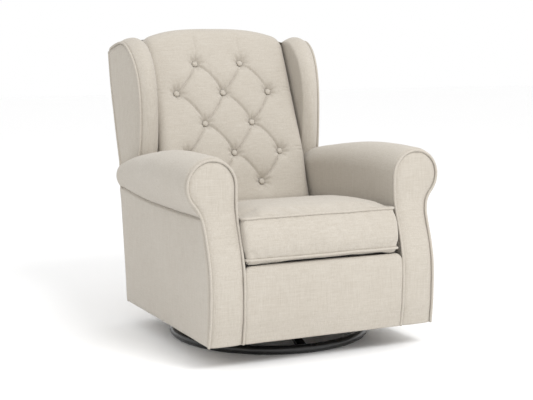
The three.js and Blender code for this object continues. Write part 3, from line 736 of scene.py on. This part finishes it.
def make_outside_back(cloth):
    """The plain outside back, slightly crowned between its edges."""
    share = np.linspace(0, 1, 110)
    across = np.sin(np.linspace(-math.pi / 2, math.pi / 2, 81))
    half = back_half_width(BODY_BOTTOM + share * 800)
    x = half[:, None] * across[None, :]
    z = BODY_BOTTOM + 1 + share[:, None] * (back_top(x) - BODY_BOTTOM - 1)
    inner = np.clip((half[:, None] - np.abs(x)) / 30, 0, 1)
    upper = np.clip((back_top(x) - z) / 30, 0, 1)
    crown = BACK_PANEL_CROWN * np.sqrt(1 - (1 - inner) ** 2) * np.sqrt(1 - (1 - upper) ** 2)
    y = rear_y(z) - 5 + crown
    face = np.stack([x, y, z], axis=-1)
    face[..., 1] += ripple(face, 120, 3.0, 6)
    inside = face.copy()
    # Between the wings the top edge is folded forward, which closes the gap behind the crest.
    fold = np.clip((z - back_top(x) + 25) / 25, 0, 1) * np.clip((320 - np.abs(x)) / 30, 0, 1)
    inside[..., 1] = rear_y(z) - BACK_PANEL_THICK - FOLD_REACH * fold
    inside[..., 2] -= 8 * fold
    rim = np.concatenate([face, inside[:, ::-1]], axis=1)
    build("outside_back_panel", [capped(rim)], cloth, "chair", ["outside_back"])


# ---- apron ---------------------------------------------------------------------------
APRON_TOP = 294.0
APRON_CORNER = 24.0
APRON_CROWN = 7.0


def make_apron(cloth):
    """The front panel under the cushion, with rounded top corners."""
    half = INNER_U - 1.5
    share = np.linspace(0, 1, 70)
    across = np.sin(np.linspace(-math.pi / 2, math.pi / 2, 91))
    x = np.repeat((half * across)[None, :], 70, axis=0)
    past = np.clip(np.abs(x) - (half - APRON_CORNER), 0, APRON_CORNER)
    top = APRON_TOP - APRON_CORNER + np.sqrt(APRON_CORNER ** 2 - past ** 2)
    z = BODY_BOTTOM + 1 + share[:, None] * (top - BODY_BOTTOM - 1)
    side_gap = np.clip((half - np.abs(x)) / 12, 0, 1)
    top_gap = np.clip((top - z) / 14, 0, 1)
    crown = APRON_CROWN * np.sqrt(1 - (1 - side_gap) ** 2) * np.sqrt(1 - (1 - top_gap) ** 2)
    face = np.stack([x, front_y(z) + 6 - crown, z], axis=-1)
    face[..., 1] += ripple(face, 110, 2.0, 7)
    inside = face.copy()
    inside[..., 1] = front_y(z) + 24
    rim = np.concatenate([face, inside[:, ::-1]], axis=1)
    build("apron_panel", [capped(rim)], cloth, "chair", ["apron"])


# ---- seat cushion --------------------------------------------------------------------
CUSHION_HALF = 248.0
CUSHION_CORNER = 9.0
CLOTH_PRESSURE = 4.0
CLOTH_FRAMES = 20
SWELL_LIMIT = 5.0
CUSHION_SHIFT = -5.0
CUSHION_FRONT_Y = -432.0
CUSHION_BACK_Y = 128.0
# Top of the cushion along its middle, and how far the boxing leans back on its way up.
CROWN = [[-436, 428], [-425, 435], [-410, 440], [-385, 445], [-345, 449], [-300, 451], [-250, 449],
         [-190, 443], [-124, 431], [0, 411], [92, 396], [128, 388]]
FRONT_LEAN = [[0, 0], [0.28, -2], [0.68, 9], [1, 26]]
# Height of each welt at the front and at the back.
LOWER_WELT = (311.5, 300.0)
UPPER_WELT = (428.0, 397.0)
# Height of what the cushion rests on, as [y, z].
DECK_TOP = [[-460, 294.5], [-410, 294.5], [-403, 297], [-388, 301], [125, 287]]


def from_front(y):
    """0 at the cushion's front and 1 at its back."""
    return np.clip((y - CUSHION_FRONT_Y) / (CUSHION_BACK_Y - CUSHION_FRONT_Y), 0, 1)


def cushion_outline(count):
    """Outline of the cushion seen from above: its corners are tight and its sides pull in a little."""
    centre_y = (CUSHION_FRONT_Y + CUSHION_BACK_Y) / 2
    half_y = (CUSHION_BACK_Y - CUSHION_FRONT_Y) / 2
    r = CUSHION_CORNER
    corners = []
    for sx, sy, start in ((1, 1, 0), (-1, 1, 90), (-1, -1, 180), (1, -1, 270)):
        for k in range(7):
            angle = math.radians(start + 15 * k)
            corners.append([sx * (CUSHION_HALF - r) + r * math.cos(angle),
                            centre_y + sy * (half_y - r) + r * math.sin(angle)])
    loop = smooth_path(corners, 1.5, closed=True, passes=2)
    line = loop[np.linspace(0, len(loop), count, endpoint=False).astype(int)]
    pull = 4.0 * (1 - ((line[:, 1] - centre_y) / half_y) ** 2)
    line[:, 0] -= np.sign(line[:, 0]) * pull * (np.abs(line[:, 0]) > CUSHION_HALF - r)
    return line


def cushion_rows():
    """Rows of points from the middle of the underside round to the middle of the top."""
    count = 260
    ring = cushion_outline(count)
    centre = np.array([0.0, (CUSHION_FRONT_Y + CUSHION_BACK_Y) / 2])
    outward = (ring - centre) / np.linalg.norm(ring - centre, axis=1)[:, None]
    shares = 1 - (1 - np.linspace(0, 1, 36)) ** 1.6
    shares = np.maximum(shares, 0.02)
    rows = []
    heights = []
    for share in shares:
        flat = centre + (ring - centre) * share
        lower = LOWER_WELT[0] + (LOWER_WELT[1] - LOWER_WELT[0]) * from_front(flat[:, 1])
        deck = np.interp(flat[:, 1], *np.array(DECK_TOP).T)
        rows.append(np.column_stack([flat, lower + (deck - lower) * (1 - share ** 40) ** 0.5]))
        heights.append(0.0)
    lower_seam = len(rows) - 1
    low = rows[-1]
    high_z = UPPER_WELT[0] + (UPPER_WELT[1] - UPPER_WELT[0]) * from_front(ring[:, 1])
    for share in np.linspace(0, 1, 17)[1:-1]:
        bulge = outward * 3.5 * math.sin(math.pi * share)
        rows.append(np.column_stack([ring + bulge, low[:, 2] + (high_z - low[:, 2]) * share]))
        heights.append(share)
    rows.append(np.column_stack([ring, high_z]))
    heights.append(1.0)
    upper_seam = len(rows) - 1
    for share in shares[::-1][1:]:
        flat = centre + (ring - centre) * share
        welt = UPPER_WELT[0] + (UPPER_WELT[1] - UPPER_WELT[0]) * from_front(flat[:, 1])
        crown = np.interp(flat[:, 1], *np.array(CROWN).T)
        across = np.clip(1 - (np.abs(flat[:, 0]) / CUSHION_HALF) ** 5, 0, 1) ** 0.8
        rows.append(np.column_stack([flat, welt + (crown - welt) * across]))
        heights.append(1.0)
    points = np.array(rows)
    lean = np.interp(heights, *np.array(FRONT_LEAN).T)[:, None]
    points[..., 1] += lean * np.clip((CUSHION_FRONT_Y + 130 - points[..., 1]) / 130, 0, 1)
    return points, (lower_seam, upper_seam), centre


def make_cushion(cloth):
    """The cushion's cover, blown up a little as cloth, and a welt along each of its two seams."""
    points, seams, centre = cushion_rows()
    count = points.shape[1]
    verts, faces = capped(points)
    mesh = bpy.data.meshes.new("cushion_cover")
    mesh.from_pydata((verts * MM).tolist(), [], faces)
    tidy = bmesh.new()
    tidy.from_mesh(mesh)
    bmesh.ops.recalc_face_normals(tidy, faces=tidy.faces)
    tidy.to_mesh(mesh)
    tidy.free()
    mesh.polygons.foreach_set("use_smooth", [True] * len(mesh.polygons))
    mesh.materials.append(cloth)
    cover = bpy.data.objects.new("cushion_cover", mesh)
    bpy.context.collection.objects.link(cover)
    inflate(cover, [count * s + k for s in seams for k in range(count)])
    now = np.array([v.co for v in cover.data.vertices]) / MM
    move = now - verts
    length = np.linalg.norm(move, axis=1)
    move *= (SWELL_LIMIT * np.tanh(length / SWELL_LIMIT) / np.maximum(length, 1e-6))[:, None]
    now = verts + move
    deck = np.interp(now[:, 1], *np.array(DECK_TOP).T) - 1
    now[:, 2] = np.maximum(now[:, 2], deck)
    now += ripple(now, 90, 1.5, 8)[:, None] * np.array([0.1, 0.3, 1.0])
    now[:, 0] += CUSHION_SHIFT
    cover.data.vertices.foreach_set("co", (now * MM).ravel())
    cover.data.update()
    finer = cover.modifiers.new("finer", "SUBSURF")
    finer.levels = 1
    finer.render_levels = 1
    finish_piece(cover, "cushion", ["seat_cushion"])
    for label, s in zip(("lower", "upper"), seams):
        line = now[count * s:count * (s + 1)].copy()
        outward = line[:, :2] - centre - [CUSHION_SHIFT, 0]
        outward /= np.linalg.norm(outward, axis=1)[:, None]
        line[:, :2] += outward * 2.2
        build(f"cushion_welt_{label}", [tube(line, WELT_R, closed=True)], cloth, "cushion")


def inflate(piece, pinned):
    """Blows the cover up a little against its sewn seams, and keeps the result."""
    group = piece.vertex_groups.new(name="sewn")
    group.add(pinned, 1.0, "REPLACE")
    modifier = piece.modifiers.new("cloth", "CLOTH")
    settings = modifier.settings
    settings.quality = 6
    settings.mass = 0.25
    settings.tension_stiffness = 18
    settings.compression_stiffness = 18
    settings.shear_stiffness = 6
    settings.bending_stiffness = 0.6
    settings.use_pressure = True
    settings.uniform_pressure_force = CLOTH_PRESSURE
    settings.vertex_group_mass = "sewn"
    settings.shrink_min = -0.03
    settings.effector_weights.gravity = 0.0
    modifier.collision_settings.use_collision = False
    modifier.point_cache.frame_start = 1
    modifier.point_cache.frame_end = CLOTH_FRAMES
    scene = bpy.context.scene
    for step in range(1, CLOTH_FRAMES + 1):
        scene.frame_set(step)
    evaluated = piece.evaluated_get(bpy.context.evaluated_depsgraph_get())
    shape = [v.co.copy() for v in evaluated.data.vertices]
    piece.modifiers.remove(modifier)
    piece.vertex_groups.remove(group)
    scene.frame_set(1)
    for vertex, place in zip(piece.data.vertices, shape):
        vertex.co = place


# ---- base and hidden frame -----------------------------------------------------------
def make_ring(steel):
    """The base ring as one smooth tube of the CAD ring's size."""
    low, high = box_mm("base_ring")
    centre = (low + high) / 2
    r = (high[2] - low[2]) / 2
    big = (high[0] - low[0]) / 2 - r
    angles = np.linspace(0, 2 * np.pi, 180, endpoint=False)
    path = np.stack([centre[0] + big * np.cos(angles), centre[1] + big * np.sin(angles),
                     np.full(180, centre[2])], axis=1)
    parts = [tube(path, r, sides=28, closed=True)]
    build("base_ring_tube", parts, steel, "base", ["base_ring"])


def dress_frame(materials):
    """Gives each CAD node that still shows the material of its slot."""
    slots = {part["node"]: part["material_slot"] for part in frame["record"]["subparts"]}
    for node, piece in frame["nodes"].items():
        piece.data.materials.clear()
        piece.data.materials.append(materials[slots[node]])


make_camera()
make_studio()
linen = cloth_material("linen", (0.530, 0.494, 0.437), (0.405, 0.362, 0.304))
black_steel = steel_material("black_steel", (0.02, 0.02, 0.02), 0.3, 0.4, 0.4)
plain_steel = steel_material("plain_steel", (0.5, 0.5, 0.51), 0.32, 0.95)
frame_wood = wood_material("frame_wood")
deck_cloth = cloth_material("deck_cloth", (0.11, 0.10, 0.095), (0.035, 0.032, 0.03), 500, 30, 0.0007)
dress_frame({"linen": linen, "black_steel": black_steel, "plain_steel": plain_steel, "frame_wood": frame_wood,
             "deck_cloth": deck_cloth})

for label, sign in SIDES:
    make_arm(label, sign, linen)
    make_arm_front(label, sign, linen)
    make_wing(label, sign, linen)
make_tufted_back(linen)
make_buttons(linen)
make_outside_back(linen)
make_apron(linen)
make_cushion(linen)
make_ring(black_steel)
